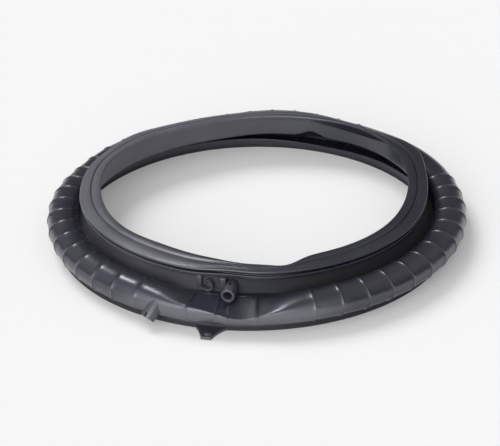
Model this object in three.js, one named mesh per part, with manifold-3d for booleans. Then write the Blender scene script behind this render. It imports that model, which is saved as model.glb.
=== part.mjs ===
// A washing machine door seal: one moulded rubber bellows that joins the tub to the cabinet front.
// It lies on its tub side with the door lip up, as it would on a bench before it is fitted.
// Millimetres and degrees. The origin is on the seal's axis at the floor, +Z is up, and angle 0 is +X.

import * as THREE from 'three';
import { mergeVertices } from 'three/addons/utils/BufferGeometryUtils.js';
import Module from 'manifold-3d';

// Wall, and the small easing of the moulding's edges
const WALL = 3;
const EASE = 0.6;

// Door side: the lip that meets the glass, and the two flanges that hold the cabinet edge
const LIP_RADIUS = 154.8;
const HEAD_WIDTH = 20.2;
const HEAD_HEIGHT = 10.8;
const LIP_EDGE = 1.6;
const FLANGE_FALL = 2.8;
const FLANGE_THICKNESS = 2.6;
const LIP_CROWN = 0.4;
const BAND_RIDGE = 0.8;
const BAND_GROOVE_INSET = 9.4;
const BAND_GROOVE_DEPTH = 1.4;
const BAND_GROOVE_WIDTH = 1.6;
const SLOT_WIDTH = 2.1;
const SLOT_DEPTH = 5.4;
const RIM_THICKNESS = 3.3;

// Neck: the cone that falls from the rim to the trough
const NECK_INSET = 5.2;
const TROUGH_OUTSET = 2.6;
const TROUGH_RISE = 12.2;
const TROUGH_ROUND = 2.6;

// Tube: the fat fold of the bellows
const TUBE_HALF_WIDTH = 16.7;
const TUBE_HALF_HEIGHT = 14.4;
const TUBE_LIFT = 5.1;
const TUBE_TO_RIM = 3.7;
const SHOULDER_ANGLE = 146;
const TUBE_FACE = { from: 122, to: -46, steps: 7 };
const LINING_FACE = { from: -40, to: 134, steps: 5 };

// Tub side: the foot that the tub's rim fits into, and the low lip inside it
const FOOT_TUCK = 10.4;
const FOOT_WIDTH = 18;
const FOOT_FLANGE_HEIGHT = 3;
const FOOT_CORNER = 2.4;
const FOOT_HEIGHT = 7;
const FOOT_LIP_TOP = 10.6;
const FOOT_LIP_THICKNESS = 2.4;
const TUB_GROOVE_INSET = 9;
const TUB_GROOVE_WIDTH = 3.2;
const TUB_GROOVE_DEPTH = 4;
const FOOT_SHIFT_X = -2.6;
const SHIFT_FADE_TOP = 14.1;
const SHIFT_FADE = 8;

// Ribs across the tube: two runs that start at a seam in the front, with some places left bare
const RIB_PITCH = 7.2;
const RIB_SEAM = -99.2;
const RIB_SEAM_HALF = 1.6;
const RIB_HEIGHT = 0.8;
const RIB_CREST = 0.8;
const RIB_FOOT = 2;
const RIB_SAG = 0.25;
const BARE_STRETCHES = [
  { from: 12, to: 49 },
  { from: -86, to: -80 },
  { from: -119, to: -112 },
];

// Spigots, strap and tab at the front
const INLET = { rootAngle: -97.8, angle: -98.4, length: 19, drop: 2.6, outer: 6.6, bore: 3.9 };
const INLET_SLOT = { start: 7.5, length: 4.5, width: 1.3 };
const SMALL_INLET = { rootAngle: -105, angle: -105, length: 7.6, drop: 3.4, outer: 5, bore: 3 };
const SMALL_INLET_CUT = { start: 4, width: 7, depth: 5, lean: 38 };
const STEM_WIDTH = 3.6;
const STRAP = { angle: -100.5, length: 5.6, width: 5.4, drop: 15 };
const WEB = { angle: -108, length: 4.6, width: 5, drop: 12 };
const DRAIN = {
  rootAngle: -116.2, angle: -117.9, inset: 5.5, rise: 4.6, root: 5, reach: 21,
  floorGap: 1.8, outer: 6.8, bore: 3.8,
};
const DRAIN_NOTCH = { length: 4.5, width: 2 };
const TAB = {
  from: -108, to: -97, tipFrom: -103.8, tipTo: -101.3, waist: 0.8, overlap: 4, reach: 18.6, thickness: 2.6,
};
const TAB_NUB = { angle: -102.3, inset: 7, radius: 4.4, height: 1.2 };

// How the soft ring has taken a set: each place has a direction, a spread round the ring and a push
const LIP_SET = [
  { at: -91, spread: 11, out: 8 },
  { at: -81, spread: 6, out: 9.5 },
  { at: 48, spread: 27, out: 12.5 },
  { at: 157, spread: 20, out: 6 },
  { at: -126, spread: 14, out: -4 },
  { at: -14, spread: 22, out: -3.5 },
  { at: 116, spread: 14, out: -3 },
];
const FLANGE_SET = [
  { at: 162, spread: 14, out: 4.5 },
  { at: 138, spread: 12, out: 5.5 },
  { at: 72, spread: 18, out: 6 },
  { at: 28, spread: 15, out: 13 },
  { at: -12, spread: 20, out: -3 },
  { at: -170, spread: 18, out: 2.5 },
  { at: -100, spread: 8, out: -4 },
];
const HEAD_LIFT = [
  { at: 138, spread: 12, out: 0.8 },
  { at: 78, spread: 20, out: 1.8 },
];
const TUBE_LIFT_SET = [
  { at: 80, spread: 18, out: 5.4 },
  { at: 118, spread: 16, out: -2.2 },
  { at: 156, spread: 12, out: -2.5 },
];
const TROUGH_LIFT_SET = [
  { at: 48, spread: 32, out: 7 },
  { at: 86, spread: 14, out: 3 },
  { at: 69, spread: 4, out: 6 },
];
const FOOT_LIP_SET = [
  { at: 64, spread: 18, out: -2.8 },
];
const TUBE_SET = [
  { at: 34, spread: 18, out: 2.4 },
  { at: -100, spread: 40, out: -1.5 },
];

// The dent at the front: a facet from the trough out to a crease, which drops to a sharp wave
const DENT = { at: -97.5, spread: 15, depth: 1.5, start: 6.7, crease: 6.5, softness: 0.8 };
const DENT_DROP_SET = [
  { at: -94.5, spread: 7.5, out: 8.3 },
];

// Facets
const TURN = 360;
const RING_STATIONS = 60;
const PIPE_SIDES = 20;
const CURVE_STEPS = 5;
const WELD = 1e-4;

// Radii and heights of the section, worked out from the sizes above
const FLANGE_RADIUS = LIP_RADIUS + HEAD_WIDTH;
const NECK_TOP_RADIUS = FLANGE_RADIUS - NECK_INSET;
const TROUGH_RADIUS = FLANGE_RADIUS + TROUGH_OUTSET;
const TUBE_RADIUS = TROUGH_RADIUS + TUBE_HALF_WIDTH;
const FOOT_OUTER_RADIUS = TUBE_RADIUS + TUBE_HALF_WIDTH - FOOT_TUCK;
const FOOT_INNER_RADIUS = FOOT_OUTER_RADIUS - FOOT_WIDTH;
const TUB_GROOVE_RADIUS = FOOT_OUTER_RADIUS - TUB_GROOVE_INSET;
const TUBE_CENTRE_HEIGHT = TUBE_LIFT + TUBE_HALF_HEIGHT;
const TROUGH_BOTTOM = TUBE_LIFT + TROUGH_RISE;
const RIM_BOTTOM = TUBE_CENTRE_HEIGHT + TUBE_HALF_HEIGHT + TUBE_TO_RIM;
const SLOT_BOTTOM = RIM_BOTTOM + RIM_THICKNESS;
const SLOT_TOP = SLOT_BOTTOM + SLOT_WIDTH;
const LIP_TOP = RIM_BOTTOM + HEAD_HEIGHT;
const FLANGE_TOP = LIP_TOP - FLANGE_FALL;

const rad = THREE.MathUtils.degToRad;
const lerp = THREE.MathUtils.lerp;
const clamp = THREE.MathUtils.clamp;

// An angle brought into the half turn to either side of 0
function halfTurn(angle) {
  return THREE.MathUtils.euclideanModulo(angle + TURN / 2, TURN) - TURN / 2;
}

// Smooth rise and fall round one direction
function bell(angle, place) {
  return Math.exp(-((halfTurn(angle - place.at) / place.spread) ** 2));
}

function setOf(places, angle) {
  return places.reduce((sum, place) => sum + place.out * bell(angle, place), 0);
}

// A point on one of the tube's two faces, at one angle of its section
function tubePoint(zone, inset, angle) {
  return {
    zone,
    r: TUBE_RADIUS + (TUBE_HALF_WIDTH - inset) * Math.cos(rad(angle)),
    z: TUBE_CENTRE_HEIGHT + (TUBE_HALF_HEIGHT - inset) * Math.sin(rad(angle)),
  };
}

function tubeArc(zone, inset, face) {
  const points = [];
  for (let i = 0; i <= face.steps; i += 1) {
    points.push(tubePoint(zone, inset, lerp(face.from, face.to, i / face.steps)));
  }
  return points;
}

function run(zone, pairs) {
  return pairs.map(([r, z]) => ({ zone, r, z }));
}

// The closed section of the seal, from the lip's edge over the outside to the foot and back inside
function section() {
  const slotEnd = FLANGE_RADIUS - SLOT_DEPTH;
  const neckInner = NECK_TOP_RADIUS - WALL;
  const troughStart = TROUGH_RADIUS - TROUGH_ROUND;
  const troughEnd = TROUGH_RADIUS + TROUGH_ROUND;
  const ridgeInner = troughStart - WALL;
  const neckMiddle = lerp(RIM_BOTTOM, TROUGH_BOTTOM, 0.5);
  const groove = LIP_RADIUS + BAND_GROOVE_INSET;
  const grooveHalf = BAND_GROOVE_WIDTH / 2;
  const bandTop = (LIP_TOP + FLANGE_TOP) / 2;
  const tubGrooveHalf = TUB_GROOVE_WIDTH / 2;
  const lipOutside = FOOT_INNER_RADIUS + FOOT_LIP_THICKNESS;
  const head = run('head', [
    [LIP_RADIUS, LIP_TOP - LIP_EDGE],
    [LIP_RADIUS + EASE, LIP_TOP],
    [(LIP_RADIUS + groove) / 2, LIP_TOP + LIP_CROWN],
    [groove - grooveHalf, bandTop + EASE],
    [groove, bandTop + EASE - BAND_GROOVE_DEPTH],
    [groove + grooveHalf, bandTop + BAND_RIDGE],
    [(groove + FLANGE_RADIUS) / 2, bandTop],
    [FLANGE_RADIUS - EASE, FLANGE_TOP],
    [FLANGE_RADIUS, FLANGE_TOP - FLANGE_THICKNESS / 2],
    [FLANGE_RADIUS - EASE, SLOT_TOP],
    [slotEnd, SLOT_TOP],
    [slotEnd, SLOT_BOTTOM],
    [FLANGE_RADIUS - EASE, SLOT_BOTTOM],
    [FLANGE_RADIUS - EASE, RIM_BOTTOM],
  ]);
  const neck = run('neck', [
    [NECK_TOP_RADIUS, RIM_BOTTOM - EASE],
    [lerp(NECK_TOP_RADIUS, troughStart, 0.5), neckMiddle],
    [troughStart, TROUGH_BOTTOM + TROUGH_ROUND],
    [TROUGH_RADIUS, TROUGH_BOTTOM],
    [troughEnd, TROUGH_BOTTOM + TROUGH_ROUND],
  ]);
  const foot = run('foot', [
    [FOOT_OUTER_RADIUS - FOOT_CORNER, FOOT_FLANGE_HEIGHT + FOOT_CORNER],
    [FOOT_OUTER_RADIUS - EASE, FOOT_FLANGE_HEIGHT],
    [FOOT_OUTER_RADIUS, 0],
    [TUB_GROOVE_RADIUS + tubGrooveHalf, 0],
    [TUB_GROOVE_RADIUS + tubGrooveHalf, TUB_GROOVE_DEPTH],
    [TUB_GROOVE_RADIUS - tubGrooveHalf, TUB_GROOVE_DEPTH],
    [TUB_GROOVE_RADIUS - tubGrooveHalf, 0],
    [FOOT_INNER_RADIUS, 0],
    [FOOT_INNER_RADIUS, FOOT_LIP_TOP],
    [lipOutside, FOOT_LIP_TOP],
    [lipOutside + EASE, FOOT_HEIGHT],
    [FOOT_OUTER_RADIUS - FOOT_CORNER, FOOT_HEIGHT],
  ]);
  const inside = run('inside', [
    [troughEnd + WALL, TROUGH_BOTTOM + EASE],
    [troughEnd, TROUGH_BOTTOM + EASE - WALL],
    [TROUGH_RADIUS - TROUGH_ROUND / 2, TROUGH_BOTTOM - WALL],
    [ridgeInner, TROUGH_BOTTOM + EASE],
    [lerp(neckInner, ridgeInner, 0.5), neckMiddle],
    [neckInner, RIM_BOTTOM - EASE],
  ]);
  const underLip = run('head', [
    [neckInner - WALL, SLOT_TOP],
    [LIP_RADIUS + WALL + EASE, LIP_TOP - WALL],
  ]);
  return [
    ...head,
    ...neck,
    tubePoint('shoulder', 0, SHOULDER_ANGLE),
    ...tubeArc('tube', 0, TUBE_FACE),
    ...foot,
    ...tubeArc('lining', WALL, LINING_FACE),
    ...inside,
    ...underLip,
  ];
}

// The facet where the tube has caved in at the front, as a height at a radius
function dentHeight(r, angle) {
  const crease = TUBE_RADIUS + TUBE_HALF_WIDTH;
  const along = clamp((r - TROUGH_RADIUS) / (crease - TROUGH_RADIUS), 0, 1);
  const creaseHeight = TUBE_CENTRE_HEIGHT + DENT.crease - setOf(DENT_DROP_SET, angle);
  return lerp(TROUGH_BOTTOM + DENT.start, creaseHeight, along);
}

// How far a height stands above a limit, with the corner eased
function above(height, limit) {
  const rise = height - limit;
  return (rise + Math.hypot(rise, DENT.softness)) / 2;
}

// Where a point of the section lies at one angle, once the ring's set is taken into account
function settle(point, angle) {
  const { zone, r, z } = point;
  if (zone === 'foot') {
    const upLip = Math.max(z - FOOT_HEIGHT, 0) / (FOOT_LIP_TOP - FOOT_HEIGHT);
    return { r, z: z + setOf(FOOT_LIP_SET, angle) * upLip, x: FOOT_SHIFT_X };
  }
  const lift = setOf(HEAD_LIFT, angle);
  const flange = setOf(FLANGE_SET, angle);
  if (zone === 'head') {
    const towardsLip = clamp((FLANGE_RADIUS - r) / HEAD_WIDTH, 0, 1);
    return { r: r + lerp(flange, setOf(LIP_SET, angle), towardsLip), z: z + lift, x: 0 };
  }
  const troughLift = setOf(TROUGH_LIFT_SET, angle);
  const dent = Math.min(DENT.depth * bell(angle, DENT), 1);
  const hidden = zone === 'inside' || zone === 'lining';
  const facet = dentHeight(r, angle) - (hidden ? WALL : 0);
  if (zone === 'neck' || zone === 'inside') {
    const upNeck = clamp((z - TROUGH_BOTTOM) / (SLOT_TOP - TROUGH_BOTTOM), 0, 1);
    const neckRun = TROUGH_RADIUS - TROUGH_ROUND - NECK_TOP_RADIUS;
    const atTrough = clamp((r - NECK_TOP_RADIUS) / neckRun, 0, 1) ** 3;
    const rise = lerp(troughLift, lift, upNeck) + above(facet, z) * dent * atTrough;
    return { r: r + flange * upNeck, z: z + rise, x: 0 };
  }
  const fromTrough = clamp((r - TROUGH_RADIUS) / TUBE_HALF_WIDTH, 0, 1);
  const upTube = clamp((z - FOOT_HEIGHT) / TUBE_HALF_HEIGHT, 0, 1) * fromTrough;
  const risen = z + setOf(TUBE_LIFT_SET, angle) * upTube + troughLift * (1 - fromTrough);
  return {
    r: r + setOf(TUBE_SET, angle) * upTube,
    z: risen - above(risen, facet) * dent,
    x: FOOT_SHIFT_X * clamp((SHIFT_FADE_TOP - z) / SHIFT_FADE, 0, 1),
  };
}

function place(point, angle, raise) {
  const { r, z, x } = settle(point, angle);
  const outward = new THREE.Vector2(point.r - TUBE_RADIUS, point.z - TUBE_CENTRE_HEIGHT).normalize();
  const radius = r + raise * outward.x;
  return new THREE.Vector3(
    radius * Math.cos(rad(angle)) + x,
    radius * Math.sin(rad(angle)),
    z + raise * outward.y,
  );
}

// Even stations round the ring for the plain rows
function plainStations() {
  const stations = [];
  for (let i = 0; i < RING_STATIONS; i += 1) {
    stations.push({ angle: RIB_SEAM + (TURN * i) / RING_STATIONS, raise: 0 });
  }
  return stations;
}

function isBare(angle) {
  const turned = halfTurn(angle);
  return BARE_STRETCHES.some((stretch) => turned > stretch.from && turned < stretch.to);
}

// Stations at the ribs' feet and crests, with one between each two ribs where the wall sags
function ribStations() {
  const crest = THREE.MathUtils.radToDeg(RIB_CREST / 2 / TUBE_RADIUS);
  const foot = THREE.MathUtils.radToDeg(RIB_FOOT / 2 / TUBE_RADIUS);
  const sweep = TURN - 2 * RIB_SEAM_HALF;
  const count = Math.floor(sweep / RIB_PITCH);
  const pitch = sweep / count;
  const stations = [];
  for (let i = 0; i <= count; i += 1) {
    const angle = RIB_SEAM + RIB_SEAM_HALF + i * pitch;
    const bare = isBare(angle);
    if (bare) {
      stations.push({ angle, raise: 0 });
    } else {
      stations.push({ angle: angle - foot, raise: 0 });
      stations.push({ angle: angle - crest, raise: RIB_HEIGHT });
      stations.push({ angle: angle + crest, raise: RIB_HEIGHT });
      stations.push({ angle: angle + foot, raise: 0 });
    }
    if (i < count) {
      stations.push({ angle: angle + pitch / 2, raise: bare ? 0 : -RIB_SAG });
    }
  }
  return stations;
}

// Triangles between two closed rows that may have different numbers of stations
function zip(lower, upper, triangles) {
  let i = 0;
  let j = 0;
  const turnOf = (row, k) => (k < row.stations.length ? 0 : TURN);
  const angleOf = (row, k) => row.stations[k % row.stations.length].angle + turnOf(row, k);
  const vertexOf = (row, k) => row.first + (k % row.stations.length);
  while (i < lower.stations.length || j < upper.stations.length) {
    const stepLower = j >= upper.stations.length
      || (i < lower.stations.length && angleOf(lower, i + 1) <= angleOf(upper, j + 1));
    if (stepLower) {
      triangles.push(vertexOf(lower, i), vertexOf(lower, i + 1), vertexOf(upper, j));
      i += 1;
    } else {
      triangles.push(vertexOf(lower, i), vertexOf(upper, j + 1), vertexOf(upper, j));
      j += 1;
    }
  }
}

function bellowsGeometry() {
  const plain = plainStations();
  const ribbed = ribStations();
  const vertices = [];
  const rows = section().map((point) => {
    const stations = point.zone === 'tube' ? ribbed : plain;
    const first = vertices.length;
    stations.forEach((station) => vertices.push(place(point, station.angle, station.raise)));
    return { first, stations };
  });
  const triangles = [];
  rows.forEach((row, k) => zip(rows[(k + 1) % rows.length], row, triangles));
  const geometry = new THREE.BufferGeometry().setFromPoints(vertices);
  geometry.setIndex(triangles);
  return geometry;
}

// A round plug from one point to another
function plugGeometry(start, end, radius) {
  const length = start.distanceTo(end);
  const geometry = new THREE.CylinderGeometry(radius, radius, length, PIPE_SIDES);
  const axis = end.clone().sub(start).normalize();
  geometry.translate(0, length / 2, 0);
  geometry.applyQuaternion(new THREE.Quaternion().setFromUnitVectors(new THREE.Vector3(0, 1, 0), axis));
  geometry.translate(start.x, start.y, start.z);
  return geometry;
}

// A square bar from one point to another, with its top face towards a direction
function barGeometry(start, end, up, width, height) {
  const along = end.clone().sub(start).normalize();
  const across = new THREE.Vector3().crossVectors(up, along).normalize();
  const top = new THREE.Vector3().crossVectors(along, across);
  const geometry = new THREE.BoxGeometry(width, height, start.distanceTo(end));
  geometry.applyMatrix4(new THREE.Matrix4().makeBasis(across, top, along));
  geometry.translate(...start.clone().lerp(end, 0.5).toArray());
  return geometry;
}

function onRing(angle, radius, height) {
  return new THREE.Vector3(radius * Math.cos(rad(angle)), radius * Math.sin(rad(angle)), height);
}

// A block that stands along a radius, such as a strap or a web
function blockGeometry(angle, from, to, bottom, top, width) {
  const geometry = new THREE.BoxGeometry(to - from, width, top - bottom);
  geometry.translate((from + to) / 2, 0, (bottom + top) / 2);
  geometry.rotateZ(rad(angle));
  return geometry;
}

// The tab on the foot, with hollow flanks
function tabGeometry() {
  const spot = (angle, radius) => {
    const p = onRing(angle, radius, 0);
    return new THREE.Vector2(p.x, p.y);
  };
  const outline = new THREE.Shape();
  const root = FOOT_OUTER_RADIUS - TAB.overlap;
  const tip = FOOT_OUTER_RADIUS + TAB.reach;
  const start = spot(TAB.from, root);
  const tipStart = spot(TAB.tipFrom, tip);
  const tipEnd = spot(TAB.tipTo, tip);
  const end = spot(TAB.to, root);
  const waist = (root + tip) / 2;
  const waistStart = spot(TAB.tipFrom - TAB.waist, waist);
  const waistEnd = spot(TAB.tipTo + TAB.waist, waist);
  outline.moveTo(start.x, start.y);
  outline.quadraticCurveTo(waistStart.x, waistStart.y, tipStart.x, tipStart.y);
  outline.lineTo(tipEnd.x, tipEnd.y);
  outline.quadraticCurveTo(waistEnd.x, waistEnd.y, end.x, end.y);
  outline.closePath();
  return new THREE.ExtrudeGeometry(outline, {
    depth: TAB.thickness,
    bevelEnabled: false,
    curveSegments: CURVE_STEPS,
  });
}

const wasm = await Module();
wasm.setup();

function solidOf(geometry) {
  const bare = geometry.clone();
  bare.deleteAttribute('normal');
  bare.deleteAttribute('uv');
  const merged = mergeVertices(bare, WELD);
  return new wasm.Manifold(new wasm.Mesh({
    numProp: 3,
    vertProperties: new Float32Array(merged.attributes.position.array),
    triVerts: new Uint32Array(merged.index.array),
  }));
}

function geometryOf(solid) {
  const mesh = solid.getMesh();
  const geometry = new THREE.BufferGeometry();
  geometry.setAttribute('position', new THREE.BufferAttribute(new Float32Array(mesh.vertProperties), 3));
  geometry.setIndex(new THREE.BufferAttribute(new Uint32Array(mesh.triVerts), 1));
  geometry.computeVertexNormals();
  return geometry;
}

// A pipe from root to end, with its bore run on through the wall behind it
function addPipe(seal, root, end, outer, bore, cutter) {
  const axis = end.clone().sub(root).normalize();
  const behind = root.clone().addScaledVector(axis, -2 * WALL);
  const ahead = end.clone().addScaledVector(axis, WALL);
  const pipe = solidOf(plugGeometry(root, end, outer)).subtract(solidOf(cutter));
  return seal.add(pipe).subtract(solidOf(plugGeometry(behind, ahead, bore)));
}

// The two ends of a pipe that stands out of the neck just under the rim
function inletLine(inlet) {
  const height = RIM_BOTTOM - inlet.drop - inlet.outer;
  const root = onRing(inlet.rootAngle, NECK_TOP_RADIUS - WALL + EASE, height);
  const end = onRing(inlet.angle, NECK_TOP_RADIUS + inlet.length, height);
  return { root, end, axis: end.clone().sub(root).normalize() };
}

// The inlet has a short slot in its top
function addInlet(seal) {
  const { root, end, axis } = inletLine(INLET);
  const up = new THREE.Vector3(0, 0, 1);
  const slotStart = root.clone().addScaledVector(axis, INLET_SLOT.start).addScaledVector(up, INLET.outer);
  const slotEnd = slotStart.clone().addScaledVector(axis, INLET_SLOT.length);
  const slot = barGeometry(slotStart, slotEnd, up, INLET_SLOT.width, INLET.outer);
  return addPipe(seal, root, end, INLET.outer, INLET.bore, slot);
}

// The small inlet is open along its upper side, towards the web
function addSmallInlet(seal) {
  const { root, end, axis } = inletLine(SMALL_INLET);
  const lean = rad(SMALL_INLET_CUT.lean);
  const up = new THREE.Vector3(-Math.sin(lean), 0, Math.cos(lean));
  const lift = up.clone().multiplyScalar(SMALL_INLET.outer);
  const start = root.clone().addScaledVector(axis, SMALL_INLET_CUT.start).add(lift);
  const stop = end.clone().addScaledVector(axis, EASE).add(lift);
  const cut = barGeometry(start, stop, up, SMALL_INLET_CUT.width, 2 * SMALL_INLET_CUT.depth);
  return addPipe(seal, root, end, SMALL_INLET.outer, SMALL_INLET.bore, cut);
}

// The drain: a stub that falls outward from the tube, with a notch across its mouth
function addDrain(seal) {
  const inner = onRing(DRAIN.rootAngle, TUBE_RADIUS + DRAIN.inset, TUBE_CENTRE_HEIGHT + DRAIN.rise);
  const end = onRing(DRAIN.angle, TUBE_RADIUS + DRAIN.reach, DRAIN.floorGap + DRAIN.outer);
  const axis = end.clone().sub(inner).normalize();
  const root = inner.clone().addScaledVector(axis, DRAIN.root);
  const across = new THREE.Vector3(-Math.sin(rad(DRAIN.angle)), Math.cos(rad(DRAIN.angle)), 0);
  const notchStart = end.clone().addScaledVector(axis, -DRAIN_NOTCH.length);
  const notchEnd = end.clone().addScaledVector(axis, DRAIN_NOTCH.length);
  const notch = barGeometry(notchStart, notchEnd, across, 3 * DRAIN.outer, DRAIN_NOTCH.width);
  return addPipe(seal, root, end, DRAIN.outer, DRAIN.bore, notch);
}

// The strap, the web and the inlet's stem, which brace the neck
function addBraces(seal) {
  const neckBack = NECK_TOP_RADIUS - WALL;
  const top = RIM_BOTTOM + EASE;
  const stemFrom = NECK_TOP_RADIUS + WALL;
  const stemTo = NECK_TOP_RADIUS + INLET.length - WALL;
  const stemTop = RIM_BOTTOM - INLET.drop - INLET.outer - INLET.bore - EASE;
  const strapEnd = NECK_TOP_RADIUS + STRAP.length;
  const webEnd = NECK_TOP_RADIUS + WEB.length;
  const braces = [
    blockGeometry(STRAP.angle, neckBack, strapEnd, RIM_BOTTOM - STRAP.drop, top, STRAP.width),
    blockGeometry(WEB.angle, neckBack, webEnd, RIM_BOTTOM - WEB.drop, top, WEB.width),
    blockGeometry(INLET.angle, stemFrom, stemTo, TROUGH_BOTTOM, stemTop, STEM_WIDTH),
  ];
  return braces.reduce((whole, brace) => whole.add(solidOf(brace)), seal);
}

function addTab(seal) {
  const nub = onRing(TAB_NUB.angle, FOOT_OUTER_RADIUS + TAB.reach - TAB_NUB.inset, TAB.thickness / 2);
  const nubTop = nub.clone().setZ(TAB.thickness + TAB_NUB.height);
  return seal
    .add(solidOf(tabGeometry()))
    .add(solidOf(plugGeometry(nub, nubTop, TAB_NUB.radius)));
}

function sealSolid() {
  const braced = addBraces(solidOf(bellowsGeometry()));
  const piped = addDrain(addSmallInlet(addInlet(braced)));
  return addTab(piped);
}

const rubber = new THREE.MeshStandardMaterial({ color: 0x3c3d45, roughness: 0.42, metalness: 0 });
const seal = new THREE.Mesh(geometryOf(sealSolid()), rubber);
seal.name = 'door_seal';

const group = new THREE.Group();
group.add(seal);

export default group;
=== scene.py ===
import math

import bmesh
import bpy
import numpy as np
from mathutils import Matrix, Vector


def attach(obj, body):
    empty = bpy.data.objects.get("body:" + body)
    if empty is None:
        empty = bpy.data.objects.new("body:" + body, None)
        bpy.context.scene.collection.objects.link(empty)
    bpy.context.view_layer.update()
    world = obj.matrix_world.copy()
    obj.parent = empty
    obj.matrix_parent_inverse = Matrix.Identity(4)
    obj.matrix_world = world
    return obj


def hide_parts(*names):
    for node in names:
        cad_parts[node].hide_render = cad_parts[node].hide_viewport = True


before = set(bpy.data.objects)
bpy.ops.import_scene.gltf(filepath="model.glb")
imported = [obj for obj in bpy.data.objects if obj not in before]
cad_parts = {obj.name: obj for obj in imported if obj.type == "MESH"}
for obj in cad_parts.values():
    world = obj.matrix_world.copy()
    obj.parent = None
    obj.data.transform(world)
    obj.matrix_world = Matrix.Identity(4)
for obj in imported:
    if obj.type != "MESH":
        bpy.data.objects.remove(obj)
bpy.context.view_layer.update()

# The seal's sizes, in millimetres and degrees; angle 0 is +X and -90 is the front
MM = 0.001
WALL = 3.0
EASE = 0.6

# Door side: the lip that meets the glass, and the two flanges that hold the cabinet edge
LIP_RADIUS = 154.8
HEAD_WIDTH = 20.2
HEAD_HEIGHT = 10.8
LIP_EDGE = 1.6
FLANGE_FALL = 2.8
FLANGE_THICKNESS = 2.6
LIP_CROWN = 0.4
BAND_RIDGE = 0.8
BAND_GROOVE_INSET = 9.4
BAND_GROOVE_DEPTH = 1.4
BAND_GROOVE_WIDTH = 1.6
SLOT_WIDTH = 2.1
SLOT_DEPTH = 5.4
RIM_THICKNESS = 3.3

# Neck and trough
NECK_INSET = 5.2
TROUGH_OUTSET = 2.6
TROUGH_RISE = 12.2
TROUGH_ROUND = 2.6

# Tube: the fat fold of the bellows
TUBE_HALF_WIDTH = 16.7
TUBE_HALF_HEIGHT = 14.4
TUBE_LIFT = 5.1
TUBE_TO_RIM = 3.7

# Tub side: the foot and the low lip inside it
FOOT_TUCK = 10.4
FOOT_WIDTH = 18.0
FOOT_FLANGE_HEIGHT = 3.0
FOOT_CORNER = 2.4
FOOT_HEIGHT = 7.0
FOOT_LIP_TOP = 10.6
FOOT_LIP_THICKNESS = 2.4
TUB_GROOVE_INSET = 9.0
TUB_GROOVE_WIDTH = 3.2
TUB_GROOVE_DEPTH = 4.0
FOOT_SHIFT_X = -2.6
SHIFT_FADE_TOP = 14.1
SHIFT_FADE = 8.0

# Ribs across the tube, in two runs that start at a seam in the front
RIB_PITCH = 7.2
RIB_SEAM = -99.2
RIB_SEAM_HALF = 1.6
RIB_HEIGHT = 0.8
RIB_HALF_WIDTH = 0.65
RIB_SAG = 0.25
BARE_STRETCHES = [(12, 49), (-86, -80), (-119, -112)]

# Spigots, strap, web, stem and tab at the front
INLET = {"root_angle": -97.8, "angle": -98.4, "length": 19.0, "drop": 2.6, "outer": 6.6, "bore": 3.9}
INLET_SLOT = {"start": 7.5, "length": 4.5, "width": 1.3}
SMALL_INLET = {"root_angle": -105, "angle": -105, "length": 7.6, "drop": 3.4, "outer": 5.0, "bore": 3.0}
SMALL_INLET_CUT = {"start": 4.0, "width": 7.0, "depth": 5.0, "lean": 38}
STEM_WIDTH = 3.6
STRAP = {"angle": -100.5, "length": 5.6, "width": 5.4, "drop": 15.0}
WEB = {"angle": -108, "length": 4.6, "width": 5.0, "drop": 12.0}
DRAIN = {
    "root_angle": -116.2,
    "angle": -117.9,
    "inset": 5.5,
    "rise": 4.6,
    "root": 5.0,
    "reach": 21.0,
    "floor_gap": 1.8,
    "outer": 6.8,
    "bore": 3.8,
}
DRAIN_NOTCH = {"length": 4.5, "width": 2.0}
TAB = {
    "start": -108,
    "stop": -97,
    "tip_start": -103.8,
    "tip_stop": -101.3,
    "waist": 0.8,
    "overlap": 4.0,
    "reach": 18.6,
    "thickness": 2.6,
}
TAB_NUB = {"angle": -102.3, "inset": 7.0, "radius": 4.4, "height": 1.2}
NUB_CROWN = {"share": 0.75, "shoulder": 1.0, "fall": 0.25}
EDGE_ROUND = 0.7

# How the soft ring has taken a set: direction, spread round the ring, and push
LIP_SET = [
    (-91, 11, 8.0),
    (-81, 6, 9.5),
    (48, 27, 12.5),
    (157, 20, 6.0),
    (-126, 14, -4.0),
    (-14, 22, -3.5),
    (116, 14, -3.0),
]
FLANGE_SET = [
    (162, 14, 4.5),
    (138, 12, 5.5),
    (72, 18, 6.0),
    (28, 15, 13.0),
    (-12, 20, -3.0),
    (-170, 18, 2.5),
    (-100, 8, -4.0),
]
HEAD_LIFT = [(138, 12, 0.8), (78, 20, 1.8)]
TUBE_LIFT_SET = [(80, 18, 5.4), (118, 16, -2.2), (156, 12, -2.5)]
TROUGH_LIFT_SET = [(48, 32, 7.0), (86, 14, 3.0), (69, 4, 6.0)]
FOOT_LIP_SET = [(64, 18, -2.8)]
TUBE_SET = [(34, 18, 2.4), (-100, 40, -1.5)]

# The dent at the front: a facet from the trough out to a crease, which drops to a sharp wave
DENT_AT = -97.5
DENT_SPREAD = 15
DENT_DEPTH = 1.5
DENT_START = 6.7
DENT_CREASE = 6.5
DENT_DROP_SET = [(-94.5, 7.5, 8.3)]
DENT_SOFTNESS = 0.8

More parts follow.
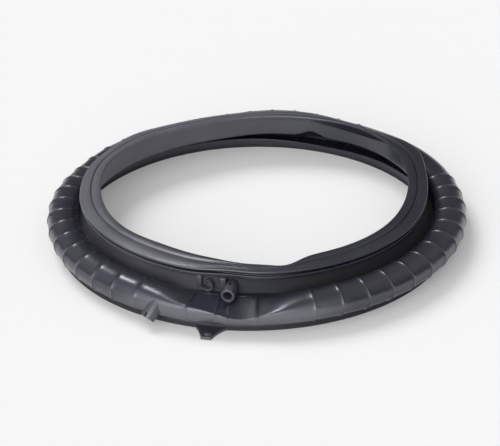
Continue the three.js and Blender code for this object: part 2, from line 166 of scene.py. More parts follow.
# Radii and heights of the section, worked out from the sizes above
FLANGE_RADIUS = LIP_RADIUS + HEAD_WIDTH
NECK_TOP_RADIUS = FLANGE_RADIUS - NECK_INSET
TROUGH_RADIUS = FLANGE_RADIUS + TROUGH_OUTSET
TUBE_RADIUS = TROUGH_RADIUS + TUBE_HALF_WIDTH
FOOT_OUTER_RADIUS = TUBE_RADIUS + TUBE_HALF_WIDTH - FOOT_TUCK
FOOT_INNER_RADIUS = FOOT_OUTER_RADIUS - FOOT_WIDTH
TUB_GROOVE_RADIUS = FOOT_OUTER_RADIUS - TUB_GROOVE_INSET
TUBE_CENTRE_HEIGHT = TUBE_LIFT + TUBE_HALF_HEIGHT
TROUGH_BOTTOM = TUBE_LIFT + TROUGH_RISE
RIM_BOTTOM = TUBE_CENTRE_HEIGHT + TUBE_HALF_HEIGHT + TUBE_TO_RIM
SLOT_BOTTOM = RIM_BOTTOM + RIM_THICKNESS
SLOT_TOP = SLOT_BOTTOM + SLOT_WIDTH
LIP_TOP = RIM_BOTTOM + HEAD_HEIGHT
FLANGE_TOP = LIP_TOP - FLANGE_FALL

# How far the section's corners are cut back to be rounded
ROUND_NONE = 0.0
ROUND_FINE = 0.3
ROUND_SLIGHT = 0.4
ROUND_LIP = 0.5
ROUND_EDGE = 0.6
ROUND_RIDGE = 0.7
ROUND_STEP = 0.8
ROUND_BEND = 1.0
ROUND_TURN = 1.2
ROUND_FOLD = 1.4
ROUND_CROWN = 1.5

# Where the tube's outside and its lining start and stop, in degrees round its centre
TUBE_ARC = {"start": 150, "stop": -46, "steps": 36}
LINING_ARC = {"start": -40, "stop": 134, "steps": 8}

# Fineness of the moulding's mesh
STATIONS_PER_PITCH = 8
SEAM_STATIONS = 6
STATION_CROWDING = 0.92
SAG_NARROWING = 3.2
EDGE_STEP = 3.2
FILLET_STEPS = 3
PIPE_SIDES = 48
AXIS_HOLE = 0.01
TAB_STEPS = 12
BEVEL_STEPS = 3
SHARP_ANGLE = 40


# Smooth rise and fall round one direction
def bell(angles, at, spread):
    turn = (angles - at + 180) % 360 - 180
    return np.exp(-((turn / spread) ** 2))


def set_of(places, angles):
    return sum(push * bell(angles, at, spread) for at, spread, push in places)


def mix(a, b, share):
    return a + (b - a) * share


# A run of the outline: corners with the radius that each is rounded by
def run(zone, corners):
    return [(zone, r, z, fillet) for r, z, fillet in corners]


def tube_arc(zone, inset, arc):
    points = []
    for i in range(arc["steps"] + 1):
        angle = math.radians(mix(arc["start"], arc["stop"], i / arc["steps"]))
        r = TUBE_RADIUS + (TUBE_HALF_WIDTH - inset) * math.cos(angle)
        z = TUBE_CENTRE_HEIGHT + (TUBE_HALF_HEIGHT - inset) * math.sin(angle)
        points.append((zone, r, z, ROUND_NONE))
    return points


# The closed outline of the section, from the lip's edge over the outside to the foot and back inside
def section_corners():
    slot_end = FLANGE_RADIUS - SLOT_DEPTH
    neck_inner = NECK_TOP_RADIUS - WALL
    trough_start = TROUGH_RADIUS - TROUGH_ROUND
    trough_end = TROUGH_RADIUS + TROUGH_ROUND
    ridge_inner = trough_start - WALL
    neck_middle = mix(RIM_BOTTOM, TROUGH_BOTTOM, 0.5)
    groove = LIP_RADIUS + BAND_GROOVE_INSET
    groove_half = BAND_GROOVE_WIDTH / 2
    band_top = (LIP_TOP + FLANGE_TOP) / 2
    tub_groove_half = TUB_GROOVE_WIDTH / 2
    lip_outside = FOOT_INNER_RADIUS + FOOT_LIP_THICKNESS
    head = run("head", [
        (LIP_RADIUS, LIP_TOP - LIP_EDGE, ROUND_LIP),
        (LIP_RADIUS + EASE, LIP_TOP, ROUND_EDGE),
        ((LIP_RADIUS + groove) / 2, LIP_TOP + LIP_CROWN, ROUND_CROWN),
        (groove - groove_half, band_top + EASE, ROUND_SLIGHT),
        (groove, band_top + EASE - BAND_GROOVE_DEPTH, ROUND_FINE),
        (groove + groove_half, band_top + BAND_RIDGE, ROUND_RIDGE),
        ((groove + FLANGE_RADIUS) / 2, band_top, ROUND_CROWN),
        (FLANGE_RADIUS - EASE, FLANGE_TOP, ROUND_EDGE),
        (FLANGE_RADIUS, FLANGE_TOP - FLANGE_THICKNESS / 2, ROUND_SLIGHT),
        (FLANGE_RADIUS - EASE, SLOT_TOP, ROUND_FINE),
        (slot_end, SLOT_TOP, ROUND_FINE),
        (slot_end, SLOT_BOTTOM, ROUND_FINE),
        (FLANGE_RADIUS - EASE, SLOT_BOTTOM, ROUND_EDGE),
        (FLANGE_RADIUS - EASE, RIM_BOTTOM, ROUND_EDGE),
    ])
    neck = run("neck", [
        (NECK_TOP_RADIUS, RIM_BOTTOM - EASE, ROUND_BEND),
        (mix(NECK_TOP_RADIUS, trough_start, 0.5), neck_middle, ROUND_NONE),
        (trough_start, TROUGH_BOTTOM + TROUGH_ROUND, ROUND_TURN),
        (TROUGH_RADIUS, TROUGH_BOTTOM, ROUND_FOLD),
        (trough_end, TROUGH_BOTTOM + TROUGH_ROUND, ROUND_TURN),
    ])
    foot = run("foot", [
        (FOOT_OUTER_RADIUS - FOOT_CORNER, FOOT_FLANGE_HEIGHT + FOOT_CORNER, ROUND_STEP),
        (FOOT_OUTER_RADIUS - EASE, FOOT_FLANGE_HEIGHT, ROUND_SLIGHT),
        (FOOT_OUTER_RADIUS, 0.0, ROUND_NONE),
        (TUB_GROOVE_RADIUS + tub_groove_half, 0.0, ROUND_NONE),
        (TUB_GROOVE_RADIUS + tub_groove_half, TUB_GROOVE_DEPTH, ROUND_NONE),
        (TUB_GROOVE_RADIUS - tub_groove_half, TUB_GROOVE_DEPTH, ROUND_NONE),
        (TUB_GROOVE_RADIUS - tub_groove_half, 0.0, ROUND_NONE),
        (FOOT_INNER_RADIUS, 0.0, ROUND_FINE),
        (FOOT_INNER_RADIUS, FOOT_LIP_TOP, ROUND_STEP),
        (lip_outside, FOOT_LIP_TOP, ROUND_STEP),
        (lip_outside + EASE, FOOT_HEIGHT, ROUND_EDGE),
        (FOOT_OUTER_RADIUS - FOOT_CORNER, FOOT_HEIGHT, ROUND_EDGE),
    ])
    inside = run("inside", [
        (trough_end + WALL, TROUGH_BOTTOM + EASE, ROUND_STEP),
        (trough_end, TROUGH_BOTTOM + EASE - WALL, ROUND_BEND),
        (TROUGH_RADIUS - TROUGH_ROUND / 2, TROUGH_BOTTOM - WALL, ROUND_TURN),
        (ridge_inner, TROUGH_BOTTOM + EASE, ROUND_TURN),
        (mix(neck_inner, ridge_inner, 0.5), neck_middle, ROUND_NONE),
        (neck_inner, RIM_BOTTOM - EASE, ROUND_FOLD),
    ])
    under_lip = run("head", [
        (neck_inner - WALL, SLOT_TOP, ROUND_FOLD),
        (LIP_RADIUS + WALL + EASE, LIP_TOP - WALL, ROUND_BEND),
    ])
    return (
        head
        + neck
        + tube_arc("tube", 0.0, TUBE_ARC)
        + foot
        + tube_arc("lining", WALL, LINING_ARC)
        + inside
        + under_lip
    )


# Rounds each corner and splits the long edges, so that the outline can bend where the ring has a set
def fine_outline():
    corners = section_corners()
    points = []
    count = len(corners)
    for i, (zone, r, z, fillet) in enumerate(corners):
        here = Vector((r, z))
        before = Vector(corners[i - 1][1:3])
        after_zone, *after_place = corners[(i + 1) % count][:3]
        after = Vector(after_place)
        if fillet > 0:
            start = here + (before - here).normalized() * fillet
            stop = here + (after - here).normalized() * fillet
            for k in range(FILLET_STEPS + 1):
                t = k / FILLET_STEPS
                bend = start.lerp(here, t).lerp(here.lerp(stop, t), t)
                points.append((zone, bend.x, bend.y))
        else:
            stop = here
            points.append((zone, r, z))
        gap = (after - stop).length
        splits = int(gap // EDGE_STEP)
        for k in range(1, splits + 1):
            t = k / (splits + 1)
            split = stop.lerp(after, t)
            points.append((zone if t < 0.5 else after_zone, split.x, split.y))
    return points


# The facet where the tube has caved in at the front, as heights at given radii and directions
def dent_height(r, turn):
    crease = TUBE_RADIUS + TUBE_HALF_WIDTH
    along = np.clip((r - TROUGH_RADIUS) / (crease - TROUGH_RADIUS), 0, 1)
    crease_height = TUBE_CENTRE_HEIGHT + DENT_CREASE - set_of(DENT_DROP_SET, turn)
    return mix(TROUGH_BOTTOM + DENT_START, crease_height, along)


# How far a height stands above a limit, with the corner eased
def above(height, limit):
    rise = height - limit
    return (rise + np.sqrt(rise ** 2 + DENT_SOFTNESS ** 2)) / 2


# Where the section's points lie at each angle, once the ring's set is taken into account
def settle(zones, r, z, angles):
    head = zones == "head"
    foot = zones == "foot"
    necked = (zones == "neck") | (zones == "inside")
    tubed = (zones == "tube") | (zones == "lining")
    hidden = (zones == "inside") | (zones == "lining")
    turn = angles[:, None]
    flange = set_of(FLANGE_SET, turn)
    lift = set_of(HEAD_LIFT, turn)
    trough_lift = set_of(TROUGH_LIFT_SET, turn)
    dent = np.minimum(DENT_DEPTH * bell(turn, DENT_AT, DENT_SPREAD), 1)
    towards_lip = np.clip((FLANGE_RADIUS - r) / HEAD_WIDTH, 0, 1)
    up_neck = np.clip((z - TROUGH_BOTTOM) / (SLOT_TOP - TROUGH_BOTTOM), 0, 1)
    neck_run = TROUGH_RADIUS - TROUGH_ROUND - NECK_TOP_RADIUS
    at_trough = np.clip((r - NECK_TOP_RADIUS) / neck_run, 0, 1) ** 3
    up_tube = np.clip((z - FOOT_HEIGHT) / TUBE_HALF_HEIGHT, 0, 1)
    from_trough = np.clip((r - TROUGH_RADIUS) / TUBE_HALF_WIDTH, 0, 1)
    up_tube = up_tube * from_trough
    up_lip = np.maximum(z - FOOT_HEIGHT, 0) / (FOOT_LIP_TOP - FOOT_HEIGHT)
    facet = dent_height(r, turn) - WALL * hidden
    near_foot = np.clip((SHIFT_FADE_TOP - z) / SHIFT_FADE, 0, 1)
    out = (
        head * mix(flange, set_of(LIP_SET, turn), towards_lip)
        + necked * flange * up_neck
        + tubed * set_of(TUBE_SET, turn) * up_tube
    )
    tube_rise = set_of(TUBE_LIFT_SET, turn) * up_tube + trough_lift * (1 - from_trough)
    tube_rise -= above(z + tube_rise, facet) * dent
    rise = (
        head * lift
        + foot * set_of(FOOT_LIP_SET, turn) * up_lip
        + necked * (mix(trough_lift, lift, up_neck) + above(facet, z) * dent * at_trough)
        + tubed * tube_rise
    )
    shift = FOOT_SHIFT_X * (foot + tubed * near_foot)
    return r + out, z + rise, np.broadcast_to(shift, rise.shape)


# The ribs' directions, and how far apart they are once two whole runs fit between the seam's ribs
def rib_angles():
    count = int((360 - 2 * RIB_SEAM_HALF) // RIB_PITCH)
    pitch = (360 - 2 * RIB_SEAM_HALF) / count
    angles = [RIB_SEAM + RIB_SEAM_HALF + i * pitch for i in range(count + 1)]
    return angles, pitch


def is_bare(angle):
    turned = (angle + 180) % 360 - 180
    return any(start < turned < stop for start, stop in BARE_STRETCHES)


# Stations that crowd together at each rib and spread out between the ribs
def station_angles():
    ribs, pitch = rib_angles()
    angles = []
    for rib in ribs[:-1]:
        for k in range(STATIONS_PER_PITCH):
            t = k / STATIONS_PER_PITCH
            eased = t - STATION_CROWDING * math.sin(2 * math.pi * t) / (2 * math.pi)
            angles.append(rib + pitch * eased)
    for k in range(SEAM_STATIONS):
        angles.append(ribs[-1] + 2 * RIB_SEAM_HALF * k / SEAM_STATIONS)
    return np.array(angles)


# How far the tube's wall stands out at each angle: thin ribs, with a slight sag between them
def rib_relief(angles):
    ribs, pitch = rib_angles()
    half = math.degrees(RIB_HALF_WIDTH / TUBE_RADIUS)
    relief = np.zeros_like(angles)
    for rib in ribs:
        if not is_bare(rib):
            relief += RIB_HEIGHT * bell(angles, rib, half)
    for rib in ribs[:-1]:
        if not is_bare(rib):
            relief -= RIB_SAG * bell(angles, rib + pitch / 2, pitch / SAG_NARROWING)
    return relief


# The whole bellows, as one closed surface swept round the ring
def bellows_mesh():
    outline = fine_outline()
    zones = np.array([point[0] for point in outline])
    r0 = np.array([point[1] for point in outline])
    z0 = np.array([point[2] for point in outline])
    angles = station_angles()
    r, z, shift = settle(zones, r0, z0, angles)
    from_tube = np.stack([r0 - TUBE_RADIUS, z0 - TUBE_CENTRE_HEIGHT])
    from_tube /= np.linalg.norm(from_tube, axis=0)
    relief = rib_relief(angles)[:, None] * (zones == "tube")
    r = r + relief * from_tube[0]
    z = z + relief * from_tube[1]
    turn = np.radians(angles)[:, None]
    x = r * np.cos(turn) + shift
    y = r * np.sin(turn)
    vertices = np.stack([x, y, z], axis=-1).reshape(-1, 3) * MM
    rows, columns = r.shape
    here = np.arange(rows * columns).reshape(rows, columns)
    ahead = np.roll(here, -1, axis=0)
    faces = np.stack([
        here,
        np.roll(here, -1, axis=1),
        np.roll(ahead, -1, axis=1),
        ahead,
    ], axis=-1).reshape(-1, 4)
    mesh = bpy.data.meshes.new("bellows_ring")
    mesh.from_pydata(vertices.tolist(), [], faces.tolist())
    mesh.update()
    return mesh


def add_piece(mesh, name, material):
    piece = bpy.data.objects.new(name, mesh)
    bpy.context.collection.objects.link(piece)
    mesh.shade_smooth()
    mesh.set_sharp_from_angle(angle=math.radians(SHARP_ANGLE))
    mesh.materials.append(material)
    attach(piece, "root")
    return piece


def on_ring(angle, radius, height):
    turn = math.radians(angle)
    return Vector((radius * math.cos(turn), radius * math.sin(turn), height))


def mesh_from(name, points, faces):
    mesh = bpy.data.meshes.new(name)
    mesh.from_pydata([tuple(value * MM for value in point) for point in points], [], faces)
    mesh.update()
    return mesh


# A turned shape on the line from start towards end; its outline is pairs of radius and distance along
def turned_mesh(name, start, end, outline):
    axis = (end - start).normalized()
    turn = axis.to_track_quat("Z", "Y")
    points = []
    for radius, along in outline:
        for k in range(PIPE_SIDES):
            angle = 2 * math.pi * k / PIPE_SIDES
            spoke = Vector((radius * math.cos(angle), radius * math.sin(angle), along))
            points.append(start + turn @ spoke)
    rows = len(outline)
    faces = []
    for i in range(rows):
        row = i * PIPE_SIDES
        ahead = (i + 1) % rows * PIPE_SIDES
        for k in range(PIPE_SIDES):
            beside = (k + 1) % PIPE_SIDES
            faces.append((row + k, row + beside, ahead + beside, ahead + k))
    return mesh_from(name, points, faces)


# A pipe's outline: rounded at the mouth, and shut behind
def pipe_outline(length, outer, bore, depth):
    outline = [(outer, 0.0)]
    for k in range(FILLET_STEPS + 1):
        angle = math.pi / 2 * k / FILLET_STEPS
        outline.append((
            outer - EDGE_ROUND + EDGE_ROUND * math.cos(angle),
            length - EDGE_ROUND + EDGE_ROUND * math.sin(angle),
        ))
    for k in range(FILLET_STEPS + 1):
        angle = math.pi / 2 * k / FILLET_STEPS
        outline.append((
            bore + EDGE_ROUND - EDGE_ROUND * math.sin(angle),
            length - EDGE_ROUND + EDGE_ROUND * math.cos(angle),
        ))
    outline.append((bore, length - depth))
    outline.append((AXIS_HOLE, length - depth))
    outline.append((AXIS_HOLE, 0.0))
    return outline


# A block with rounded edges, which stands along a radius
def block_mesh(name, angle, start, stop, bottom, top, width):
    block = bmesh.new()
    bmesh.ops.create_cube(block, size=1.0)
    bmesh.ops.scale(block, vec=((stop - start), width, (top - bottom)), verts=block.verts)
    rounding = min(EDGE_ROUND, width / 3)
    bmesh.ops.bevel(
        block, geom=block.edges, offset=rounding, segments=BEVEL_STEPS, affect="EDGES", profile=0.5
    )
    bmesh.ops.translate(block, vec=((start + stop) / 2, 0, (bottom + top) / 2), verts=block.verts)
    turn = Matrix.Rotation(math.radians(angle), 4, "Z")
    bmesh.ops.transform(block, matrix=Matrix.Scale(MM, 4) @ turn, verts=block.verts)
    mesh = bpy.data.meshes.new(name)
    block.to_mesh(mesh)
    block.free()
    return mesh


# One mesh with another cut out of it
def carved(mesh, cutter):
    scene = bpy.context.scene
    whole = bpy.data.objects.new("whole", mesh)
    knife = bpy.data.objects.new("knife", cutter)
    scene.collection.objects.link(whole)
    scene.collection.objects.link(knife)
    cut = whole.modifiers.new("cut", "BOOLEAN")
    cut.operation = "DIFFERENCE"
    cut.solver = "EXACT"
    cut.object = knife
    bpy.context.view_layer.update()
    result = bpy.data.meshes.new_from_object(whole.evaluated_get(bpy.context.evaluated_depsgraph_get()))
    bpy.data.objects.remove(whole)
    bpy.data.objects.remove(knife)
    result.name = mesh.name
    return result


# A square bar from start to end, with its top face towards a direction
def bar_mesh(start, end, up, width, height):
    along = (end - start).normalized()
    across = up.cross(along).normalized()
    top = along.cross(across)
    points = []
    for place in (start, end):
        for x, y in ((-0.5, -0.5), (0.5, -0.5), (0.5, 0.5), (-0.5, 0.5)):
            points.append(place + across * width * x + top * height * y)
    faces = [(3, 2, 1, 0), (4, 5, 6, 7), (0, 1, 5, 4), (1, 2, 6, 5), (2, 3, 7, 6), (3, 0, 4, 7)]
    return mesh_from("bar", points, faces)


# The two ends of a pipe that stands out of the neck just under the rim
def inlet_line(inlet):
    height = RIM_BOTTOM - inlet["drop"] - inlet["outer"]
    root = on_ring(inlet["root_angle"], NECK_TOP_RADIUS - WALL + EASE, height)
    end = on_ring(inlet["angle"], NECK_TOP_RADIUS + inlet["length"], height)
    return root, end, (end - root).normalized()


# A rounded pipe with a bar cut out of it
def pipe_mesh(name, root, end, sizes, cutter):
    length = (end - root).length
    outline = pipe_outline(length, sizes["outer"], sizes["bore"], length - EASE)
    return carved(turned_mesh(name, root, end, outline), cutter)


# The inlet has a short slot in its top
def inlet_mesh():
    root, end, axis = inlet_line(INLET)
    up = Vector((0, 0, 1))
    slot_start = root + axis * INLET_SLOT["start"] + up * INLET["outer"]
    slot_end = slot_start + axis * INLET_SLOT["length"]
    slot = bar_mesh(slot_start, slot_end, up, INLET_SLOT["width"], INLET["outer"])
    return pipe_mesh("inlet", root, end, INLET, slot)


# The small inlet is open along its upper side, towards the web
def small_inlet_mesh():
    root, end, axis = inlet_line(SMALL_INLET)
    lean = math.radians(SMALL_INLET_CUT["lean"])
    up = Vector((-math.sin(lean), 0, math.cos(lean)))
    start = root + axis * SMALL_INLET_CUT["start"] + up * SMALL_INLET["outer"]
    stop = end + axis + up * SMALL_INLET["outer"]
    cut = bar_mesh(start, stop, up, SMALL_INLET_CUT["width"], 2 * SMALL_INLET_CUT["depth"])
    return pipe_mesh("small_inlet", root, end, SMALL_INLET, cut)


# The drain: a stub that falls outward from the tube, with a notch across its mouth
def drain_mesh():
    inner = on_ring(DRAIN["root_angle"], TUBE_RADIUS + DRAIN["inset"], TUBE_CENTRE_HEIGHT + DRAIN["rise"])
    end = on_ring(DRAIN["angle"], TUBE_RADIUS + DRAIN["reach"], DRAIN["floor_gap"] + DRAIN["outer"])
    axis = (end - inner).normalized()
    turn = math.radians(DRAIN["angle"])
    across = Vector((-math.sin(turn), math.cos(turn), 0))
    reach = axis * DRAIN_NOTCH["length"]
    notch = bar_mesh(end - reach, end + reach, across, 3 * DRAIN["outer"], DRAIN_NOTCH["width"])
    return pipe_mesh("drain_stub", inner + axis * DRAIN["root"], end, DRAIN, notch)


# The tab on the foot, with hollow flanks and a rounded rim
def tab_mesh():
    root = FOOT_OUTER_RADIUS - TAB["overlap"]
    tip = FOOT_OUTER_RADIUS + TAB["reach"]
    waist = (root + tip) / 2
    start = on_ring(TAB["start"], root, 0)
    tip_start = on_ring(TAB["tip_start"], tip, 0)
    tip_stop = on_ring(TAB["tip_stop"], tip, 0)
    stop = on_ring(TAB["stop"], root, 0)
    waist_start = on_ring(TAB["tip_start"] - TAB["waist"], waist, 0)
    waist_stop = on_ring(TAB["tip_stop"] + TAB["waist"], waist, 0)
    outline = []
    for k in range(TAB_STEPS + 1):
        t = k / TAB_STEPS
        outline.append(start.lerp(waist_start, t).lerp(waist_start.lerp(tip_start, t), t))
    for k in range(TAB_STEPS + 1):
        t = k / TAB_STEPS
        outline.append(tip_stop.lerp(waist_stop, t).lerp(waist_stop.lerp(stop, t), t))
    middle = sum(outline, Vector()) / len(outline)
    layers = [(0.0, 0.0), (0.0, TAB["thickness"] - EDGE_ROUND), (EDGE_ROUND, TAB["thickness"])]
    points = []
    for inset, height in layers:
        for point in outline:
            inward = (middle - point).normalized() * inset
            points.append(point + inward + Vector((0, 0, height)))
    count = len(outline)
    faces = [tuple(range(count - 1, -1, -1)), tuple(2 * count + k for k in range(count))]
    for i in range(len(layers) - 1):
        for k in range(count):
            beside = (k + 1) % count
            faces.append((
                i * count + k, i * count + beside, (i + 1) * count + beside, (i + 1) * count + k
            ))
    return mesh_from("foot_tab", points, faces)


# The low round nub on the tab, with a crowned top
def nub_mesh():
    out = FOOT_OUTER_RADIUS + TAB["reach"] - TAB_NUB["inset"]
    foot = on_ring(TAB_NUB["angle"], out, TAB["thickness"] / 2)
    height = TAB["thickness"] / 2 + TAB_NUB["height"]
    radius = TAB_NUB["radius"]
    outline = [
        (AXIS_HOLE, 0.0),
        (radius, 0.0),
        (radius, height - NUB_CROWN["shoulder"]),
        (radius * NUB_CROWN["share"], height - NUB_CROWN["fall"]),
        (AXIS_HOLE, height),
    ]
    return turned_mesh("tab_nub", foot, foot + Vector((0, 0, 1)), outline)


# The strap, the web and the inlet's stem, which brace the neck
def brace_meshes():
    neck_back = NECK_TOP_RADIUS - WALL
    top = RIM_BOTTOM + EASE
    stem_start = NECK_TOP_RADIUS + WALL
    stem_stop = NECK_TOP_RADIUS + INLET["length"] - WALL
    stem_top = RIM_BOTTOM - INLET["drop"] - INLET["outer"] - INLET["bore"] - EASE
    braces = []
    for name, brace in (("strap", STRAP), ("web", WEB)):
        reach = NECK_TOP_RADIUS + brace["length"]
        bottom = RIM_BOTTOM - brace["drop"]
        braces.append(block_mesh(name, brace["angle"], neck_back, reach, bottom, top, brace["width"]))
    stem = block_mesh("stem", INLET["angle"], stem_start, stem_stop, TROUGH_BOTTOM, stem_top, STEM_WIDTH)
    return [*braces, stem]


def add_fittings(finish):
    fittings = [inlet_mesh(), small_inlet_mesh(), *brace_meshes(), drain_mesh(), tab_mesh(), nub_mesh()]
    for mesh in fittings:
        add_piece(mesh, mesh.name, finish)


def direction(azimuth, elevation):
    a = math.radians(azimuth)
    e = math.radians(elevation)
    return Vector((math.cos(e) * math.cos(a), math.cos(e) * math.sin(a), math.sin(e)))


# A shader graph whose numbers are written as Python sums
class Number:
    def __init__(self, graph, socket):
        self.graph = graph
        self.socket = socket

    def math(self, operation, first, second):
        return self.graph.node("ShaderNodeMath", {"operation": operation}, {0: first, 1: second})

    def __add__(self, other):
        return self.math("ADD", self, other)

    def __radd__(self, other):
        return self.math("ADD", other, self)

    def __mul__(self, other):
        return self.math("MULTIPLY", self, other)

    def __rmul__(self, other):
        return self.math("MULTIPLY", other, self)

    def __sub__(self, other):
        return self.math("SUBTRACT", self, other)

    def __rsub__(self, other):
        return self.math("SUBTRACT", other, self)

    def at_least(self, other):
        return self.math("MAXIMUM", self, other)

    def to_power(self, other):
        return self.math("POWER", self, other)


class Graph:
    def __init__(self, owner):
        owner.use_nodes = True
        self.tree = owner.node_tree
        self.tree.nodes.clear()

    # Any node: its kind, its settings, the values or links of its sockets, and the output wanted
    def node(self, kind, settings, inputs, output=0):
        made = self.tree.nodes.new(kind)
        for key, value in settings.items():
            setattr(made, key, value)
        for key, value in inputs.items():
            if isinstance(value, Number):
                self.tree.links.new(value.socket, made.inputs[key])
            else:
                made.inputs[key].default_value = value
        return Number(self, made.outputs[output]) if len(made.outputs) else made

    def noise(self, place, grain):
        return self.node("ShaderNodeTexNoise", {}, {"Vector": place, **grain})

    def dot(self, first, second):
        return self.node(
            "ShaderNodeVectorMath", {"operation": "DOT_PRODUCT"}, {0: first, 1: second}, output="Value"
        )

    def upward(self, vector):
        return self.node("ShaderNodeSeparateXYZ", {}, {"Vector": vector}, output="Z")

    def seen(self, ray):
        return self.node("ShaderNodeLightPath", {}, {}, output=ray)

    def ramp(self, value, low, high):
        return self.node(
            "ShaderNodeMapRange", {"clamp": True},
            {"Value": value, "From Min": low, "From Max": high, "To Min": 0.0, "To Max": 1.0},
        )

    def mix_colors(self, share, first, second):
        return self.node(
            "ShaderNodeMix", {"data_type": "RGBA"}, {0: share, 6: first, 7: second}, output=2
        )


# The rubber's colours
RUBBER_DARK = (0.012, 0.012, 0.021, 1)
RUBBER_LIGHT = (0.019, 0.019, 0.030, 1)
RUBBER_DUST = (0.045, 0.045, 0.053, 1)
# The pale colour is wear and painted light; the darkest one is painted shade
RUBBER_WEAR_AND_PAINTED_LIGHT = (0.125, 0.125, 0.145, 1)
RUBBER_PAINTED_SHADE = (0.004, 0.004, 0.005, 1)
SHEEN_TINT = (0.9, 0.9, 1.0, 1)

# Its grains, from the widest smears to the finest skin
SMEARS = {"Scale": 9.0, "Detail": 3.0, "Distortion": 1.2}
MOTTLING = {"Scale": 34.0, "Detail": 4.0}
WAVES = {"Scale": 70.0, "Detail": 2.0}
SKIN = {"Scale": 1400.0, "Detail": 2.0}
WAVE_HEIGHT = 0.5
SKIN_HEIGHT = 0.06
BUMP_STRENGTH = 0.16
BUMP_DISTANCE = 0.001

# Dust, which is thickest where the surface faces up
DUST_EVEN = 0.55
DUST_UPWARD = 0.45
DUST_START = 0.3
DUST_STOP = 0.75
DUST_MOST = 0.4

# The ring's left and back, pale in patches: partly wear, partly painted light from that side
WEAR_AND_LIGHT_AZIMUTH = 160
WEAR_AND_LIGHT_SMEAR = 0.5
WEAR_AND_LIGHT_START = -0.1
WEAR_AND_LIGHT_STOP = 1.1
WEAR_AND_LIGHT_SHARE = 0.8
WEAR_AND_LIGHT_PATCHES = 0.3
# How much paler the fittings are all over
FITTING_PALENESS = 0.45

# Painted light on the outer face at the front, by its reach in metres
PAINTED_FRONT_LIGHT_AZIMUTH = -97
PAINTED_FRONT_LIGHT_START = 0.178
PAINTED_FRONT_LIGHT_STOP = 0.198
PAINTED_FRONT_LIGHT_TURN = 0.1
PAINTED_FRONT_LIGHT_SHARE = 0.8

# Painted shade on the neck under the rim
UNDER_RIM_SHADE_DEPTH = 1.5
UNDER_RIM_SHADE_TURN = 0.05

# How rough the skin is, and what each mark adds to that
SATIN = 0.22
MOTTLED_ROUGH = 0.08
DUST_ROUGH = 0.2
WEAR_AND_LIGHT_ROUGH = 0.06
PAINTED_SHADE_ROUGH = 0.5


# Moulded rubber: slate grey, mottled and dusty; pale with wear and painted light; dark with painted shade
def rubber_material(name, paleness, low_shade):
    material = bpy.data.materials.new(name)
    g = Graph(material)
    place = g.node("ShaderNodeTexCoord", {}, {}, output="Object")
    normal = g.node("ShaderNodeNewGeometry", {}, {}, output="Normal")
    height = g.upward(place)
    reach = g.node("ShaderNodeVectorMath", {"operation": "MULTIPLY"}, {0: place, 1: (1, 1, 0)})
    radius = g.node("ShaderNodeVectorMath", {"operation": "LENGTH"}, {0: reach}, output="Value")
    outward = g.dot(reach, normal)
    inside = g.ramp(radius, (TROUGH_RADIUS + TROUGH_ROUND) * MM, TROUGH_RADIUS * MM)
    mottling = g.noise(place, MOTTLING)
    smear = g.noise(place, SMEARS)

    dust = g.ramp(smear * (DUST_EVEN + g.upward(normal) * DUST_UPWARD), DUST_START, DUST_STOP) * DUST_MOST
    towards = g.dot(reach, tuple(direction(WEAR_AND_LIGHT_AZIMUTH, 0) / (LIP_RADIUS * MM)))
    # Paler on the ring's left and back, partly wear and partly painted light; the fittings paler all over
    wear_and_painted_light = g.ramp(towards + smear * WEAR_AND_LIGHT_SMEAR, WEAR_AND_LIGHT_START, WEAR_AND_LIGHT_STOP) * inside + paleness
    patchy_wear_and_painted_light = wear_and_painted_light * (WEAR_AND_LIGHT_SHARE - WEAR_AND_LIGHT_PATCHES + smear * (2 * WEAR_AND_LIGHT_PATCHES))
    # Painted light on the outer faces at the front
    forward = g.dot(reach, tuple(direction(PAINTED_FRONT_LIGHT_AZIMUTH, 0)))
    painted_front_light = g.ramp(forward, PAINTED_FRONT_LIGHT_START, PAINTED_FRONT_LIGHT_STOP) * g.ramp(outward, PAINTED_FRONT_LIGHT_TURN, TUBE_RADIUS * MM)
    # Painted shade on the neck under the rim, except on the pale side
    under_rim = g.ramp(height, RIM_BOTTOM * MM, (RIM_BOTTOM - UNDER_RIM_SHADE_DEPTH) * MM)
    painted_shade_under_rim = under_rim * g.ramp(outward, 0.0, UNDER_RIM_SHADE_TURN) * inside * (1.0 - wear_and_painted_light)
    # Painted shade on the foot near the floor, on the bellows only
    low = g.ramp(height, FOOT_HEIGHT * MM, FOOT_FLANGE_HEIGHT * MM) * low_shade
    painted_shade = low.at_least(painted_shade_under_rim)

    mottled = g.mix_colors(mottling, RUBBER_DARK, RUBBER_LIGHT)
    dusty = g.mix_colors(dust, mottled, RUBBER_DUST)
    # The pale colour: wear and painted light at the left, painted light at the front
    with_wear_and_painted_light = g.mix_colors(patchy_wear_and_painted_light.at_least(painted_front_light * PAINTED_FRONT_LIGHT_SHARE), dusty, RUBBER_WEAR_AND_PAINTED_LIGHT)
    # Painted shade darkens the colour here and makes it rougher below
    color = g.mix_colors(painted_shade, with_wear_and_painted_light, RUBBER_PAINTED_SHADE)
    roughness = SATIN + mottling * MOTTLED_ROUGH + dust * DUST_ROUGH + wear_and_painted_light * WEAR_AND_LIGHT_ROUGH + painted_shade * PAINTED_SHADE_ROUGH
    relief = g.noise(place, SKIN) * SKIN_HEIGHT + g.noise(place, WAVES) * WAVE_HEIGHT
    bump = g.node(
        "ShaderNodeBump", {},
        {"Height": relief, "Strength": BUMP_STRENGTH, "Distance": BUMP_DISTANCE},
    )
    shader = g.node(
        "ShaderNodeBsdfPrincipled", {},
        {
            "Base Color": color,
            "Roughness": roughness,
            "Normal": bump,
            "Specular IOR Level": 1.0,
            "Specular Tint": SHEEN_TINT,
        },
    )
    g.node("ShaderNodeOutputMaterial", {}, {"Surface": shader})
    return material


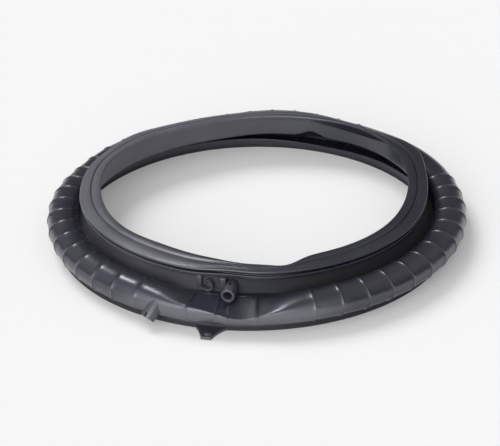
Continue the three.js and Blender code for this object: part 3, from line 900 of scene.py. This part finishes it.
# The bellows get painted shade near the floor; the fittings are paler all over and get none
rubber = rubber_material("moulded_rubber", 0.0, 1.0)
matt_rubber = rubber_material("matt_rubber", FITTING_PALENESS, 0.0)
bellows = add_piece(bellows_mesh(), "bellows_ring", rubber)
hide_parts("door_seal")
add_fittings(matt_rubber)

# Studio: a pale floor, a soft key from behind on the left, a sun for the glints, and a dim sky
FLOOR_HALF = 30.0
FLOOR_COLOR = (0.78, 0.78, 0.78, 1)
FLOOR_GLOW = 0.16
WHITE = (1, 1, 1, 1)
KEY_AZIMUTH = 127
KEY_ELEVATION = 48
KEY_STRENGTH = 1.65
KEY_ANGLE = 32
GLINT_ELEVATION = 60
GLINT_STRENGTH = 0.65
GLINT_ANGLE = 11
SKY_BASE = 0.07
SKY_SEEN = 0.925
SKY_LOBES = [
    {"azimuth": -130, "elevation": 24, "sharpness": 5.0, "strength": 1.6},
    {"azimuth": -105, "elevation": 8, "sharpness": 12.0, "strength": 3.0},
    {"azimuth": -60, "elevation": 35, "sharpness": 6.0, "strength": 0.35},
    {"azimuth": 20, "elevation": 40, "sharpness": 8.0, "strength": 0.3},
    {"azimuth": 155, "elevation": 34, "sharpness": 8.0, "strength": 0.5},
    {"azimuth": 0, "elevation": 90, "sharpness": 3.0, "strength": 0.25},
]


def add_floor():
    mesh = bpy.data.meshes.new("floor")
    corners = [(-1, -1), (1, -1), (1, 1), (-1, 1)]
    mesh.from_pydata([(x * FLOOR_HALF, y * FLOOR_HALF, 0.0) for x, y in corners], [], [(0, 1, 2, 3)])
    floor = bpy.data.objects.new("floor", mesh)
    bpy.context.collection.objects.link(floor)
    material = bpy.data.materials.new("pale_floor")
    g = Graph(material)
    matt = g.node("ShaderNodeBsdfDiffuse", {}, {"Color": FLOOR_COLOR})
    seen = g.seen("Is Camera Ray").at_least(g.seen("Is Glossy Ray"))
    glow = g.node("ShaderNodeEmission", {}, {"Color": WHITE, "Strength": seen * FLOOR_GLOW})
    both = g.node("ShaderNodeAddShader", {}, {0: matt, 1: glow})
    g.node("ShaderNodeOutputMaterial", {}, {"Surface": both})
    mesh.materials.append(material)


def add_sun(name, elevation, strength, angle):
    lamp = bpy.data.lights.new(name, "SUN")
    lamp.energy = strength
    lamp.angle = math.radians(angle)
    sun = bpy.data.objects.new(name, lamp)
    bpy.context.collection.objects.link(sun)
    sun.rotation_euler = direction(KEY_AZIMUTH, elevation).to_track_quat("Z", "Y").to_euler()
    return sun


# The sky's brightness: the same all over but for soft lobes, and plain pale where it is seen
def add_sky():
    world = bpy.data.worlds.new("studio")
    bpy.context.scene.world = world
    g = Graph(world)
    way = g.node("ShaderNodeTexCoord", {}, {}, output="Generated")
    glow = SKY_BASE
    for lobe in SKY_LOBES:
        facing = g.dot(way, tuple(direction(lobe["azimuth"], lobe["elevation"])))
        glow = glow + facing.at_least(0.0).to_power(lobe["sharpness"]) * lobe["strength"]
    seen = g.seen("Is Camera Ray")
    strength = glow * (1.0 - seen) + seen * SKY_SEEN
    sky = g.node("ShaderNodeBackground", {}, {"Color": WHITE, "Strength": strength})
    g.node("ShaderNodeOutputWorld", {}, {"Surface": sky})


# Camera: a long lens at the height that the ring's ellipses give
CAMERA_DISTANCE = 1.5
CAMERA_ELEVATION = 28.67
CAMERA_ROLL = 0.94
FRAME_WIDTH = 500
LENS_PIXELS = 1466
SENSOR_WIDTH = 36
CENTRE_RIGHT = 6.9
CENTRE_DOWN = 1.3


def add_camera():
    lens = bpy.data.cameras.new("camera")
    lens.sensor_width = SENSOR_WIDTH
    lens.lens = SENSOR_WIDTH * LENS_PIXELS / FRAME_WIDTH
    lens.shift_x = -CENTRE_RIGHT / FRAME_WIDTH
    lens.shift_y = CENTRE_DOWN / FRAME_WIDTH
    camera = bpy.data.objects.new("camera", lens)
    bpy.context.collection.objects.link(camera)
    back = direction(-90, CAMERA_ELEVATION)
    camera.location = back * CAMERA_DISTANCE
    turn = back.to_track_quat("Z", "Y").to_euler()
    turn.rotate_axis("Z", math.radians(-CAMERA_ROLL))
    camera.rotation_euler = turn
    bpy.context.scene.camera = camera


add_floor()
key = add_sun("key", KEY_ELEVATION, KEY_STRENGTH, KEY_ANGLE)
key.visible_glossy = False
glint = add_sun("glint", GLINT_ELEVATION, GLINT_STRENGTH, GLINT_ANGLE)
glint.visible_diffuse = False
add_sky()
add_camera()
bpy.context.scene.view_settings.view_transform = "Standard"
